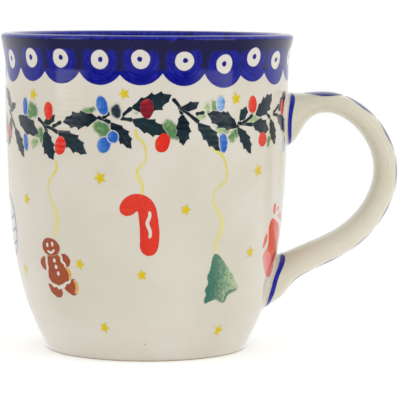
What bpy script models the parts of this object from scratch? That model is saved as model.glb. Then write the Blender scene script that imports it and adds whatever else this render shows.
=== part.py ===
"""A glazed stoneware mug, standing on Z = 0 with its handle towards +X.

The cup is one thrown and turned wall with a foot ring. The handle is a pulled strap, and two seams
of slip fix its ends to the wall. Every length is in metres. Heights are above the foot ring's face,
and radii are from the cup's axis, which an empty carries to its place in the mug's own frame.
"""

import math

import bmesh
import bpy
import numpy as np

COLLECTION = "stoneware_mug"

# Cup
CUP_HEIGHT = 0.095
WALL_RADIUS = 0.04265  # outside, what the side comes up to below the rim's flare
FOOT_RADIUS = 0.0301  # outside, where it stands
BELLY_HEIGHT = 0.0203  # at this height the side is within 1/e of its way out to WALL_RADIUS
BELLY_POWER = 1.1  # 1 is a plain exponential, and more makes the belly rounder
RIM_FLARE = 0.00165  # how far the rim opens past WALL_RADIUS
FLARE_HEIGHT = 0.0095
FLARE_POWER = 1.4
LIP_HEIGHT = 0.0013  # the rounded top of the wall
WALL = 0.0042
FLOOR = 0.0055
BOWL_HEIGHT = 0.016  # the inside turns from the wall into the floor over this height
BOWL_POWER = 3.0
FOOT_RING = 0.0036  # width of the face that it stands on
FOOT_RECESS = 0.0014
FOOT_EDGE = 0.0007  # rounding of the foot ring's edges

# Handle
UPPER_ROOT_BELOW_RIM = 0.0258  # centre of the upper end
LOWER_ROOT_HEIGHT = 0.0204  # centre of the lower end
HANDLE_REACH = 0.0302  # from the wall to the strap's middle line, at its furthest
STRAP_THICKNESS_ABOVE = 0.0057
STRAP_THICKNESS_BELOW = 0.0085
STRAP_WIDTH = 0.0146
UPPER_FLARE = 0.0114  # what the upper root adds to the strap's thickness
UPPER_FLARE_RUN = 0.0076
LOWER_FLARE = 0.0049
LOWER_FLARE_RUN = 0.0056
ROOT_SPREAD = 0.005  # what a root adds to the strap's width
ROOT_RUN = 0.008  # the strap runs this far on into the wall before it is cut to it
SECTION_POWER = 2.3  # 2 is an ellipse, and more is squarer

# The strap's middle line, from the upper root to the lower: how far out from the wall, as a share
# of the reach, and how high between the two roots.
HANDLE_LINE = (
    (-0.112, 1.0),
    (0.421, 1.107),
    (0.788, 0.984),
    (1.0, 0.676),
    (0.703, 0.287),
    (0.198, 0.107),
    (-0.048, 0.0),
)

# Seams
SLIP = 0.001  # thickness of the slip between a root and the wall
SLIP_BEAD = 0.0008  # how far the slip stands out round the root
CLEARANCE = 0.0003
SEAM_REACH = 0.016  # length of strap that each seam is cut from

# Fineness of the meshes
TURN_STEPS = 64
STRAP_SIDES = 24
STRAP_SECTIONS = 44

CREAM_GLAZE = (0.72, 0.65, 0.53, 1.0)
SLIP_GLAZE = (0.60, 0.55, 0.47, 1.0)


def wall_radius(height):
    """Outside radius: it closes on WALL_RADIUS as a stretched exponential, and then the rim flares."""
    short_of_wall = np.exp(-((height / BELLY_HEIGHT) ** BELLY_POWER))
    belly = WALL_RADIUS - (WALL_RADIUS - FOOT_RADIUS) * short_of_wall
    up_the_flare = np.maximum(0.0, 1 - (CUP_HEIGHT - height) / FLARE_HEIGHT)
    return belly + RIM_FLARE * up_the_flare**FLARE_POWER


def rounded(before, corner, after, radius, steps=3):
    """The points of an arc tangent to both lines at a corner of a profile."""
    corner = np.array(corner)
    back = (np.array(before) - corner) / np.linalg.norm(np.array(before) - corner)
    on = (np.array(after) - corner) / np.linalg.norm(np.array(after) - corner)
    half = math.acos(float(back @ on)) / 2
    middle = (back + on) / np.linalg.norm(back + on)
    centre = corner + middle * radius / math.sin(half)
    start = corner + back * radius / math.tan(half) - centre
    end = corner + on * radius / math.tan(half) - centre
    turn = math.pi - 2 * half
    share = np.linspace(0, 1, steps + 1)[:, None]
    arc = (np.sin((1 - share) * turn) * start + np.sin(share * turn) * end) / math.sin(turn)
    return [tuple(point) for point in centre + arc]


def bowl_profile():
    """The inside of the floor, from the axis out to the wall, as a superellipse."""
    floor = FOOT_RECESS + FLOOR
    angle = np.linspace(math.pi / 2, 0, 9)
    height = floor + BOWL_HEIGHT * (1 - np.sin(angle) ** (2 / BOWL_POWER))
    radius = (wall_radius(height) - WALL) * np.cos(angle) ** (2 / BOWL_POWER)
    radius[0] = 0
    return list(zip(radius, height))


def lip_profile():
    """Half an ellipse over the wall, leaning out as the flare does."""
    base = CUP_HEIGHT - LIP_HEIGHT
    step = 0.1 * LIP_HEIGHT
    lean = float(wall_radius(base) - wall_radius(base - step)) / step
    angle = np.linspace(math.pi, 0, 9)
    middle = wall_radius(base) - WALL / 2
    rise = LIP_HEIGHT * np.sin(angle)
    return list(zip(middle + WALL / 2 * np.cos(angle) + lean * rise, base + rise))


def foot_profile():
    """The foot ring's rounded edges, and the recess inside it in to the axis."""
    side = (float(wall_radius(2 * FOOT_EDGE)), 2 * FOOT_EDGE)
    outer = (FOOT_RADIUS, 0.0)
    inner = (FOOT_RADIUS - FOOT_RING, 0.0)
    top = (inner[0] - FOOT_RECESS / 2, FOOT_RECESS)
    axis = (0.0, FOOT_RECESS)
    edges = rounded(side, outer, inner, FOOT_EDGE) + rounded(outer, inner, top, FOOT_EDGE / 2)
    return edges + rounded(inner, top, axis, FOOT_EDGE / 2) + [axis]


def cup_profile():
    """From the middle of the inside, up the wall, over the lip and down to the middle of the base."""
    flare_base = CUP_HEIGHT - FLARE_HEIGHT
    bowl_top = FOOT_RECESS + FLOOR + BOWL_HEIGHT
    lip_base = CUP_HEIGHT - LIP_HEIGHT
    inside = np.append(np.linspace(bowl_top, flare_base, 5), np.linspace(flare_base, lip_base, 4)[1:])
    flare = np.linspace(lip_base, flare_base, 5)
    share = np.linspace(0, 1, 12)
    belly = 2 * FOOT_EDGE + (flare_base - 2 * FOOT_EDGE) * (1 - share) ** 1.6
    outside = np.append(flare, belly[1:])
    profile = bowl_profile() + list(zip(wall_radius(inside) - WALL, inside))[1:-1]
    profile += lip_profile()
    profile += list(zip(wall_radius(outside), outside))[1:]
    return profile + foot_profile()


def sleeve_profile(near, far):
    """A closed skin over the side of the cup, between two distances from it. Near None is solid."""
    height = np.linspace(0, CUP_HEIGHT - FLARE_HEIGHT, 16)
    outside = list(zip(wall_radius(height) + far, height))[::-1]
    if near is None:
        return [(0.0, height[-1])] + outside + [(0.0, height[0])]
    inside = list(zip(wall_radius(height) + near, height))
    return inside + outside + inside[:1]


def spline(points, count):
    """A natural cubic spline through the points, with chord length as its parameter."""
    points = np.array(points)
    knots = np.append(0, np.cumsum(np.linalg.norm(np.diff(points, axis=0), axis=1)))
    span = np.diff(knots)
    matrix = np.eye(len(knots))
    right = np.zeros_like(points)
    for i in range(1, len(knots) - 1):
        matrix[i, i - 1 : i + 2] = span[i - 1], 2 * (span[i - 1] + span[i]), span[i]
        slopes = np.diff(points[i - 1 : i + 2], axis=0) / span[i - 1 : i + 1, None]
        right[i] = 6 * (slopes[1] - slopes[0])
    bend = np.linalg.solve(matrix, right)
    place = np.linspace(0, knots[-1], count)
    i = np.clip(np.searchsorted(knots, place, side="right") - 1, 0, len(span) - 1)
    b = ((place - knots[i]) / span[i])[:, None]
    a = 1 - b
    curve = (a**3 - a) * bend[i] + (b**3 - b) * bend[i + 1]
    return a * points[i] + b * points[i + 1] + curve * span[i, None] ** 2 / 6


def strap_sections():
    """Along the strap: centre (x, z), outward normal (x, z), half thickness, half width, length."""
    upper = CUP_HEIGHT - UPPER_ROOT_BELOW_RIM
    line = []
    for out, up in HANDLE_LINE:
        height = LOWER_ROOT_HEIGHT + up * (upper - LOWER_ROOT_HEIGHT)
        line.append((float(wall_radius(height)) + out * HANDLE_REACH, height))
    centre = spline(line, STRAP_SECTIONS)
    along = np.gradient(centre, axis=0)
    along /= np.linalg.norm(along, axis=1)[:, None]
    centre = np.vstack([centre[0] - along[0] * ROOT_RUN, centre, centre[-1] + along[-1] * ROOT_RUN])
    along = np.vstack([along[0], along, along[-1]])
    length = np.append(0, np.cumsum(np.linalg.norm(np.diff(centre, axis=0), axis=1)))
    from_upper = np.maximum(length - ROOT_RUN, 0)
    from_lower = np.maximum(length[-1] - ROOT_RUN - length, 0)
    share = from_upper / (from_upper + from_lower)
    upper_flare = np.exp(-((from_upper / UPPER_FLARE_RUN) ** 2))
    lower_flare = np.exp(-((from_lower / LOWER_FLARE_RUN) ** 2))
    thickness = STRAP_THICKNESS_ABOVE + (STRAP_THICKNESS_BELOW - STRAP_THICKNESS_ABOVE) * share
    thickness += UPPER_FLARE * upper_flare + LOWER_FLARE * lower_flare
    width = STRAP_WIDTH + ROOT_SPREAD * (upper_flare + lower_flare)
    outward = np.stack([-along[:, 1], along[:, 0]], axis=1)
    return centre, outward, thickness / 2, width / 2, length


def mug_material(name, color, roughness):
    material = bpy.data.materials.new(name)
    material.use_nodes = True
    shader = material.node_tree.nodes["Principled BSDF"]
    shader.inputs["Base Color"].default_value = color
    shader.inputs["Roughness"].default_value = roughness
    shader.inputs["Metallic"].default_value = 0.0
    material.diffuse_color = color
    return material


def add_object(name, mesh, collection, parent, material=None):
    made = bpy.data.objects.new(name, mesh)
    collection.objects.link(made)
    made.parent = parent
    if material:
        mesh.materials.append(material)
    else:
        made.hide_render = True
        made.display_type = "WIRE"
    return made


def turned(name, profile, collection, parent, material=None):
    """A profile in the XZ plane carried round the axis."""
    mesh = bpy.data.meshes.new(name)
    edges = [(i, i + 1) for i in range(len(profile) - 1)]
    mesh.from_pydata([(radius, 0, height) for radius, height in profile], edges, [])
    made = add_object(name, mesh, collection, parent, material)
    screw = made.modifiers.new("turn", "SCREW")
    screw.axis = "Z"
    screw.steps = screw.render_steps = TURN_STEPS
    screw.use_merge_vertices = True
    screw.merge_threshold = 0.000001
    screw.use_smooth_shade = True
    return made


def strap(name, low, high, grow, collection, parent, material):
    """The strap between two lengths along it, as a loft of flattened ovals made larger by grow."""
    centre, outward, half_thickness, half_width, length = strap_sections()
    angle = np.linspace(0, 2 * math.pi, STRAP_SIDES, endpoint=False)
    over, across = (
        np.sign(wave) * np.abs(wave) ** (2 / SECTION_POWER) for wave in (np.sin(angle), np.cos(angle))
    )
    shape = bmesh.new()
    rings = []
    for i in np.flatnonzero((length >= low) & (length <= high)):
        rise = over * (half_thickness[i] + grow)
        x, z = centre[i][:, None] + outward[i][:, None] * rise
        y = across * (half_width[i] + grow)
        rings.append([shape.verts.new(point) for point in zip(x, y, z)])
    for ring, following in zip(rings, rings[1:]):
        for i in range(STRAP_SIDES):
            j = (i + 1) % STRAP_SIDES
            shape.faces.new((ring[i], ring[j], following[j], following[i]))
    shape.faces.new(rings[0])
    shape.faces.new(rings[-1])
    bmesh.ops.recalc_face_normals(shape, faces=shape.faces)
    mesh = bpy.data.meshes.new(name)
    shape.to_mesh(mesh)
    shape.free()
    mesh.shade_smooth()
    return add_object(name, mesh, collection, parent, material)


def boolean(made, operation, other):
    modifier = made.modifiers.new(operation.lower(), "BOOLEAN")
    modifier.operation = operation
    modifier.solver = "EXACT"
    modifier.object = other


def new_collection(name):
    made = bpy.data.collections.new(name)
    bpy.context.scene.collection.children.link(made)
    return made


def main():
    for old in list(bpy.data.objects):
        bpy.data.objects.remove(old, do_unlink=True)
    parts = new_collection(COLLECTION)
    cutters = new_collection(COLLECTION + "_cutters")
    cream = mug_material("cream_glaze", CREAM_GLAZE, 0.12)
    slip = mug_material("slip_glaze", SLIP_GLAZE, 0.15)

    centre, outward, half_thickness, _, length = strap_sections()
    handle_end = float((centre + outward * half_thickness[:, None])[:, 0].max())
    rim_end = max(radius for radius, _ in lip_profile())
    axis = bpy.data.objects.new("cup_axis", None)
    parts.objects.link(axis)
    axis.location.x = -(handle_end - rim_end) / 2

    turned("cup", cup_profile(), parts, axis, cream)

    handle = strap("handle", 0, length[-1], 0, parts, axis, cream)
    clear_of_seams = CLEARANCE + SLIP + CLEARANCE
    wall = turned("wall_cutter", sleeve_profile(None, clear_of_seams), cutters, axis)
    boolean(handle, "DIFFERENCE", wall)

    seams = turned("seam_sleeve", sleeve_profile(CLEARANCE, CLEARANCE + SLIP), cutters, axis)
    ends = {"upper_slip_seam": (0, SEAM_REACH), "lower_slip_seam": (length[-1] - SEAM_REACH, length[-1])}
    for name, (low, high) in ends.items():
        seam = strap(name, low, high, SLIP_BEAD, parts, axis, slip)
        boolean(seam, "INTERSECT", seams)


main()
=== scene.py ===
"""Looks of a hand-painted stoneware mug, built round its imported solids.

The cup, the handle and the slip round the handle's roots are fine surfaces that follow the same
formulas as the solids. The painting is thin films of colour on the glaze: each brush mark is a grid
on the painter's flat sheet, and the sheet is rolled onto the wall or the strap. Lengths are in
metres. Places on the sheet are in millimetres, and a Spot gives one as degrees round the cup from
its front, positive towards the handle, and millimetres up from the foot.
"""

import logging
import math
from collections.abc import Callable, Sequence
from dataclasses import dataclass, field, replace
from enum import Enum

import bmesh
import bpy
import numpy as np
from mathutils import Matrix, Vector


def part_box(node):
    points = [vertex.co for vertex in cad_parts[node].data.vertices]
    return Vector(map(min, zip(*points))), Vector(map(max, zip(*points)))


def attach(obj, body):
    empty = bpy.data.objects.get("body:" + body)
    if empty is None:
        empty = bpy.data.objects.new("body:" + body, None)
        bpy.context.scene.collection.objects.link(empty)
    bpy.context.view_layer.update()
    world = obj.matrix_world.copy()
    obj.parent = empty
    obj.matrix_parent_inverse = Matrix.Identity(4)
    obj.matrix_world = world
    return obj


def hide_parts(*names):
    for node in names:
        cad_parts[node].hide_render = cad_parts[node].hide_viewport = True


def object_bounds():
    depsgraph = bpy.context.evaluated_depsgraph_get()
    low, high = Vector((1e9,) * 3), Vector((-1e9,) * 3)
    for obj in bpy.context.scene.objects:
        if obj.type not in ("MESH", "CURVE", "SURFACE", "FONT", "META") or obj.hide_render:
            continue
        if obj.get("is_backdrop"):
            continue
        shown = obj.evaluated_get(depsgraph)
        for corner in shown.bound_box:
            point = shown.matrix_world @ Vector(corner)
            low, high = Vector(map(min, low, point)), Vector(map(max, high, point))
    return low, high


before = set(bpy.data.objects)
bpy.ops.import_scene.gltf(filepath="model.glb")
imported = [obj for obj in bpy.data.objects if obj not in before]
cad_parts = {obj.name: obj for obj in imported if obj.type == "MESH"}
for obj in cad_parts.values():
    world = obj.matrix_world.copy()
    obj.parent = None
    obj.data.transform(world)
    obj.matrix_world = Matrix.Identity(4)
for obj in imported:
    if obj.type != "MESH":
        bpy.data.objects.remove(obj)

LOG = logging.getLogger("mug")
MM = 0.001
BODY = "root"
PAINT_RADIUS = 42.6  # millimetres: degrees round the cup become millimetres on the sheet at this radius
MERGE = 1e-7  # metres within which two corners of a mesh become one
WIPED = 0.00035  # metres up from the foot's face where its glaze begins
TIP = 0.02  # millimetres: the least half width of a stroke
TIP_EDGE = 0.05  # millimetres: the distance to its edge that a stroke's very end is given
Array = np.ndarray
Spot = tuple[float, float]
Colour = tuple[float, float, float]
Roll = Callable[[Array, float], Array]


def display(red: int, green: int, blue: int) -> Colour:
    """Linear colour of a display colour of 0 to 255: the inverse of the usual display curve.

    Args:
        red, green, blue: The display colour.

    Returns:
        The linear colour, 0 to 1.
    """
    shares = (value / 255 for value in (red, green, blue))
    return tuple(s / 12.92 if s <= 0.04045 else ((s + 0.055) / 1.055) ** 2.4 for s in shares)


# ---------------------------------------------------------------------------------- shader tools


class Signal:
    """A node's output, on which Python's operators add Math nodes."""

    def __init__(self, recipe: "Recipe", socket: bpy.types.NodeSocket | None) -> None:
        """Keeps the output and the recipe that it belongs to."""
        self.recipe = recipe
        self.socket = socket

    def _math(self, operation: str, first: object, second: object) -> "Signal":
        """One Math node on two values or signals."""
        return self.recipe.add("ShaderNodeMath", {"operation": operation}, {0: first, 1: second})

    def __add__(self, other: object) -> "Signal":
        """Sum."""
        return self._math("ADD", self, other)

    def __sub__(self, other: object) -> "Signal":
        """Difference."""
        return self._math("SUBTRACT", self, other)

    def __rsub__(self, other: object) -> "Signal":
        """Difference from a number on the left."""
        return self._math("SUBTRACT", other, self)

    def __mul__(self, other: object) -> "Signal":
        """Product."""
        return self._math("MULTIPLY", self, other)

    def ramp(self, low: float, high: float) -> "Signal":
        """0 below low, 1 above high, and a smooth step between them."""
        sockets = {"Value": self, "From Min": low, "From Max": high}
        return self.recipe.add("ShaderNodeMapRange", {"interpolation_type": "SMOOTHSTEP"}, sockets)

    __radd__ = __add__
    __rmul__ = __mul__


class Recipe:
    """A node tree that is filled one node at a time."""

    def __init__(self, tree: bpy.types.NodeTree) -> None:
        """Starts from an empty tree."""
        self.tree = tree
        tree.nodes.clear()

    def add(
        self, kind: str, settings: dict | None = None, sockets: dict | None = None, out: int = 0
    ) -> Signal:
        """Adds a node.

        Args:
            kind: The node's type.
            settings: Its properties, set first. "stops" holds a ramp's (place, value) pairs.
            sockets: Value, colour or Signal of each input, by name or number.
            out: Which output the Signal stands for.

        Returns:
            The node's output.
        """
        node = self.tree.nodes.new(kind)
        for key, value in (settings or {}).items():
            if key == "stops":
                self._stops(node.color_ramp, value)
            else:
                setattr(node, key, value)
        for key, value in (sockets or {}).items():
            entry = node.inputs[key]
            if isinstance(value, Signal):
                self.tree.links.new(value.socket, entry)
            elif isinstance(value, tuple) and len(value) == 3 and len(entry.default_value) == 4:
                entry.default_value = (*value, 1.0)
            else:
                entry.default_value = value
        return Signal(self, node.outputs[out] if node.outputs else None)

    @staticmethod
    def _stops(ramp: bpy.types.ColorRamp, stops: Sequence[tuple[float, float]]) -> None:
        """Gives a grey ramp its stops."""
        while len(ramp.elements) < len(stops):
            ramp.elements.new(0.5)
        for element, (place, value) in zip(ramp.elements, stops):
            element.position = place
            element.color = (value, value, value, 1.0)

    def place(self) -> Signal:
        """The point's own coordinates, in metres."""
        return self.add("ShaderNodeTexCoord", out=3)

    def mark(self, name: str) -> Signal:
        """A number that the mesh's corners carry."""
        return self.add("ShaderNodeAttribute", {"attribute_name": name}, out=2)

    def brush(self) -> Signal:
        """Where the point lies in its brush mark: along it, across it, and which mark it is."""
        return self.add("ShaderNodeAttribute", {"attribute_name": "brush"}, out=1)

    def noise(
        self, where: Signal, scale: float, detail: float = 2.0, stretch: Colour | None = None
    ) -> Signal:
        """Soft noise of 0 to 1 about 0.5, its cells 1/scale across, stretched by a share each way."""
        if stretch:
            where = self.add("ShaderNodeVectorMath", {"operation": "MULTIPLY"}, {0: where, 1: stretch})
        return self.add("ShaderNodeTexNoise", None, {"Vector": where, "Scale": scale, "Detail": detail})

    def mix(self, share: object, first: object, second: object) -> Signal:
        """The first colour where share is 0 and the second where it is 1."""
        sockets = {0: share, 6: first, 7: second}
        return self.add("ShaderNodeMix", {"data_type": "RGBA"}, sockets, out=2)


def blank(name: str) -> tuple[bpy.types.Material, Recipe]:
    """A new material with an empty recipe.

    Args:
        name: The material's name.

    Returns:
        The material, and the recipe that fills it.
    """
    made = bpy.data.materials.new(name)
    made.use_nodes = True
    return made, Recipe(made.node_tree)


# ------------------------------------------------------------------------------------- finishes


@dataclass(frozen=True)
class Glaze:
    """Clear glaze over cream slip: clouded, faintly dimpled and sprinkled with iron specks."""

    pale: Colour = display(214, 208, 197)
    warm: Colour = display(206, 200, 184)
    speck: Colour = display(150, 118, 84)
    bare: Colour = display(196, 174, 146)
    roughness: float = 0.09
    dimple: float = 0.00003

    def ground(self, recipe: Recipe) -> Signal:
        """The cream colour with its clouds and specks."""
        place = recipe.place()
        cloud = recipe.noise(place, 38.0, 3.0).ramp(0.3, 0.7)
        cells = {"Vector": place, "Scale": 170.0}
        near = recipe.add("ShaderNodeTexVoronoi", None, cells)
        rare = recipe.noise(place, 60.0, 1.0).ramp(0.62, 0.7)
        speck = (1 - near.ramp(0.03, 0.07)) * rare * 0.6
        return recipe.mix(speck, recipe.mix(cloud, self.pale, self.warm), self.speck)

    def finish(self, recipe: Recipe, colour: Signal, roughness: Signal | None = None) -> None:
        """Puts the glossy coat over a colour and ends the tree."""
        place = recipe.place()
        peel = recipe.noise(place, 420.0, 2.0) + recipe.noise(place, 90.0, 1.0) * 2.0
        bump = recipe.add("ShaderNodeBump", None, {"Strength": 0.35, "Distance": self.dimple, "Height": peel})
        gloss = recipe.noise(place, 130.0, 2.0) * 0.05 + (self.roughness - 0.025)
        sockets = {"Base Color": colour, "Roughness": roughness or gloss, "Normal": bump, "IOR": 1.5}
        shader = recipe.add("ShaderNodeBsdfPrincipled", None, sockets)
        recipe.add("ShaderNodeOutputMaterial", None, {"Surface": shader})

    def material(self, name: str, bare_below: float) -> bpy.types.Material:
        """Cream glaze, wiped off below a height so that the clay shows.

        Args:
            name: The material's name.
            bare_below: Height in metres of the wiped edge.

        Returns:
            The material.
        """
        made, recipe = blank(name)
        place = recipe.place()
        height = recipe.add("ShaderNodeSeparateXYZ", None, {"Vector": place}, out=2)
        glazed = (height + recipe.noise(place, 300.0) * 0.0002).ramp(bare_below, bare_below + 0.00015)
        clay = recipe.mix(recipe.noise(place, 700.0, 4.0), self.bare, self.speck)
        colour = recipe.mix(glazed, clay, self.ground(recipe))
        gloss = (1 - glazed) * 0.6 + self.roughness
        self.finish(recipe, colour, gloss)
        return made


@dataclass(frozen=True)
class Paint:
    """Underglaze colour: watery or full, streaked by its brush, bleeding a little at its edge."""

    name: str
    slot: str
    full: Colour
    thin: Colour
    second: Colour
    soft: float = 0.3  # millimetres over which its edge fades
    ragged: float = 0.15  # millimetres by which its edge wanders
    mottle: float = 0.35
    grain: float = 700.0
    streak: float = 0.35
    fades_into: Colour | None = None  # cream when None

    def material(self, glaze: Glaze) -> bpy.types.Material:
        """The paint under its glaze.

        Args:
            glaze: The glaze that covers it.

        Returns:
            The material.
        """
        made, recipe = blank(self.name)
        place = recipe.place()
        wander = (recipe.noise(place, 2200.0) - 0.5) * (2 * self.ragged)
        cover = (recipe.mark("edge") + wander).ramp(0.0, self.soft)
        grain = recipe.noise(place, self.grain, 3.0) - 0.5
        streak = recipe.noise(recipe.brush(), 1.0, 2.0, (0.12, 1.6, 9.0)) - 0.5
        loose = grain * (2 * self.mottle) + streak * (2 * self.streak)
        wash = (recipe.mark("wash") + loose).ramp(0.0, 1.0)
        hue = (recipe.mark("hue") + loose).ramp(0.25, 0.75)
        colour = recipe.mix(hue, recipe.mix(wash, self.thin, self.full), self.second)
        under = self.fades_into or glaze.ground(recipe)
        glaze.finish(recipe, recipe.mix(cover, under, colour))
        return made


CREAM = Glaze()
# The cup's glaze painted darker and warmer for the handle: painted shade, and painted warm light bounced off
# the cup.
PAINTED_SHADE_CREAM = replace(CREAM, pale=display(216, 211, 195), warm=display(206, 200, 178))
ROYAL = display(4, 8, 122)
NAVY = display(22, 20, 62)
COBALT = Paint(
    "cobalt", "cobalt_paint", ROYAL, display(46, 56, 176), NAVY,
    soft=0.25, ragged=0.06, mottle=0.35, grain=500.0, streak=0.5,
)
RESERVE = Paint(
    "reserve_in_cobalt", "cup_glaze", CREAM.pale, CREAM.warm, CREAM.warm,
    soft=0.3, ragged=0.08, mottle=0.2, fades_into=ROYAL,
)
TEAL = display(8, 26, 38)
LEAF = Paint(
    "leaf_green", "leaf_paint", TEAL, display(46, 72, 80), display(32, 70, 56),
    soft=0.14, ragged=0.08, mottle=0.4, grain=450.0, streak=0.35,
)
SHADOW = replace(LEAF, name="leaf_shadow", full=display(30, 40, 56), soft=0.9)
SPONGE = Paint(
    "sponge_green", "leaf_paint", display(78, 122, 76), display(166, 184, 132), display(44, 98, 78),
    soft=1.3, ragged=0.7, mottle=0.6, grain=800.0, streak=0.1,
)
FIR = Paint(
    "fir_green", "leaf_paint", display(58, 110, 92), display(176, 190, 150), display(88, 136, 112),
    soft=0.3, ragged=0.25, mottle=0.5, grain=1300.0, streak=0.1,
)
RED = Paint(
    "berry_red", "berry_paint", display(212, 38, 20), display(226, 112, 84), display(124, 20, 38),
    soft=0.02, ragged=0.0, mottle=0.4, grain=700.0, streak=0.15,
)
CANDY = Paint(
    "candy_red", "berry_paint", display(214, 50, 32), display(222, 108, 88), display(196, 40, 26),
    soft=0.15, ragged=0.1, mottle=0.3, grain=1100.0, streak=0.1,
)
WOOL = replace(
    CANDY, name="stocking_red", full=display(212, 72, 46), thin=display(222, 134, 126), mottle=0.15
)
BLUE = Paint(
    "berry_blue", "cobalt_paint", display(28, 90, 178), display(150, 188, 216), display(22, 52, 160),
    soft=0.45, ragged=0.2, mottle=0.3, grain=500.0, streak=0.1,
)
OUTLINE = Paint(
    "outline_blue", "cobalt_paint", display(60, 84, 176), display(130, 150, 205), display(40, 60, 160),
    soft=0.3, ragged=0.15, mottle=0.3,
)
GOLD = Paint(
    "gold", "gold_paint", display(206, 182, 8), display(222, 208, 110), display(214, 190, 40),
    soft=0.35, ragged=0.1, mottle=0.3, grain=700.0, streak=0.1,
)
RIBBON = Paint(
    "ribbon_gold", "gold_paint", display(204, 188, 20), display(222, 212, 130), display(214, 196, 60),
    soft=0.35, ragged=0.1, mottle=0.3, grain=600.0, streak=0.3,
)
BISCUIT = Paint(
    "biscuit_brown", "brown_paint", display(150, 70, 40), display(184, 108, 68), display(212, 158, 58),
    soft=0.16, ragged=0.08, mottle=0.5, grain=1500.0, streak=0.1,
)
ICING = Paint(
    "icing", "cup_glaze", CREAM.pale, CREAM.warm, CREAM.warm,
    soft=0.1, ragged=0.03, mottle=0.2,
)


# ---------------------------------------------------------------------------------- mesh tools


@dataclass
class Shell:
    """A closed body: its corners, its four-sided faces and the numbers that its corners carry."""

    points: Array
    faces: Array
    marks: dict[str, Array] = field(default_factory=dict)

    def outward(self) -> "Shell":
        """Turns the faces round if they enclose a negative volume."""
        a, b, c, d = (self.points[self.faces[:, i]] for i in range(4))
        volume = np.einsum("ij,ij->", a, np.cross(b, c)) + np.einsum("ij,ij->", a, np.cross(c, d))
        if volume < 0:
            self.faces = self.faces[:, ::-1]
        return self


def quads(rows: int, columns: int, round_rows: bool = False, round_columns: bool = False) -> Array:
    """The faces between neighbouring points of a grid, numbered row by row.

    Args:
        rows, columns: The grid's size.
        round_rows, round_columns: True where the last joins the first.

    Returns:
        Four point numbers for each face.
    """
    index = np.arange(rows * columns).reshape(rows, columns)
    if round_rows:
        index = np.vstack([index, index[:1]])
    if round_columns:
        index = np.hstack([index, index[:, :1]])
    corners = (index[:-1, :-1], index[:-1, 1:], index[1:, 1:], index[1:, :-1])
    return np.stack(corners, axis=-1).reshape(-1, 4)


def piece(
    name: str,
    shells: Sequence[Shell],
    material: bpy.types.Material,
    replaces: Sequence[str] = (),
    crease: float = 50.0,
) -> bpy.types.Object:
    """Joins shells into one named piece that rides on the mug.

    Args:
        name: The piece's name.
        shells: The closed bodies in it.
        material: What it is dressed in.
        replaces: The solids that it stands for.
        crease: Angle in degrees past which an edge is sharp.

    Returns:
        The piece.
    """
    starts = np.cumsum([0] + [len(shell.points) for shell in shells])
    points = np.vstack([shell.points for shell in shells])
    faces = np.vstack([shell.faces + start for shell, start in zip(shells, starts)])
    mesh = bpy.data.meshes.new(name)
    mesh.vertices.add(len(points))
    mesh.vertices.foreach_set("co", points.astype(np.float32).ravel())
    mesh.loops.add(faces.size)
    mesh.loops.foreach_set("vertex_index", faces.astype(np.int32).ravel())
    mesh.polygons.add(len(faces))
    mesh.polygons.foreach_set("loop_start", np.arange(0, faces.size, 4, dtype=np.int32))
    for key in shells[0].marks:
        values = np.concatenate([shell.marks[key].reshape(len(shell.points), -1) for shell in shells])
        kind, entry = ("FLOAT", "value") if values.shape[1] == 1 else ("FLOAT_VECTOR", "vector")
        mesh.attributes.new(key, kind, "POINT").data.foreach_set(entry, values.astype(np.float32).ravel())
    mesh.update(calc_edges=True)
    edited = bmesh.new()
    edited.from_mesh(mesh)
    bmesh.ops.remove_doubles(edited, verts=edited.verts, dist=MERGE)
    edited.to_mesh(mesh)
    edited.free()
    mesh.shade_smooth()
    mesh.set_sharp_from_angle(angle=math.radians(crease))
    mesh.materials.append(material)
    made = bpy.data.objects.new(name, mesh)
    bpy.context.scene.collection.objects.link(made)
    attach(made, BODY)
    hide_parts(*replaces)
    LOG.info("%s: %d faces", name, len(mesh.polygons))
    return made


def spline(points: Sequence[Sequence[float]], count: int) -> Array:
    """A natural cubic spline through points, with the length of its chords as its parameter.

    Args:
        points: What it passes through.
        count: How many points come back, evenly spaced in the parameter.

    Returns:
        The points along it.
    """
    known = np.array(points, float)
    knots = np.append(0, np.cumsum(np.linalg.norm(np.diff(known, axis=0), axis=1)))
    span = np.diff(knots)
    slopes = np.diff(known, axis=0) / span[:, None]
    inner = np.arange(1, len(knots) - 1)
    matrix = np.eye(len(knots))
    matrix[inner, inner - 1] = span[:-1]
    matrix[inner, inner] = 2 * (span[:-1] + span[1:])
    matrix[inner, inner + 1] = span[1:]
    right = np.zeros_like(known)
    right[1:-1] = 6 * np.diff(slopes, axis=0)
    bend = np.linalg.solve(matrix, right)
    place = np.linspace(0, knots[-1], count)
    i = np.clip(np.searchsorted(knots, place, side="right") - 1, 0, len(span) - 1)
    b = ((place - knots[i]) / span[i])[:, None]
    a = 1 - b
    curve = (a**3 - a) * bend[i] + (b**3 - b) * bend[i + 1]
    return a * known[i] + b * known[i + 1] + curve * span[i, None] ** 2 / 6


def signed_power(wave: Array, power: float) -> Array:
    """A wave raised to a power with its sign kept, which makes a superellipse of a circle."""
    return np.sign(wave) * np.abs(wave) ** power


def smooth(value: Array, low: float, high: float) -> Array:
    """0 below low, 1 above high, and a smooth step between them."""
    share = np.clip((value - low) / (high - low), 0, 1)
    return share * share * (3 - 2 * share)


# ------------------------------------------------------------------------------- brush marks


class Grid(Enum):
    """How a mark's grid closes: not at all, as rings about one point, or as a belt round the cup."""

    STRIP = "strip"
    DISC = "disc"
    BELT = "belt"


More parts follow.
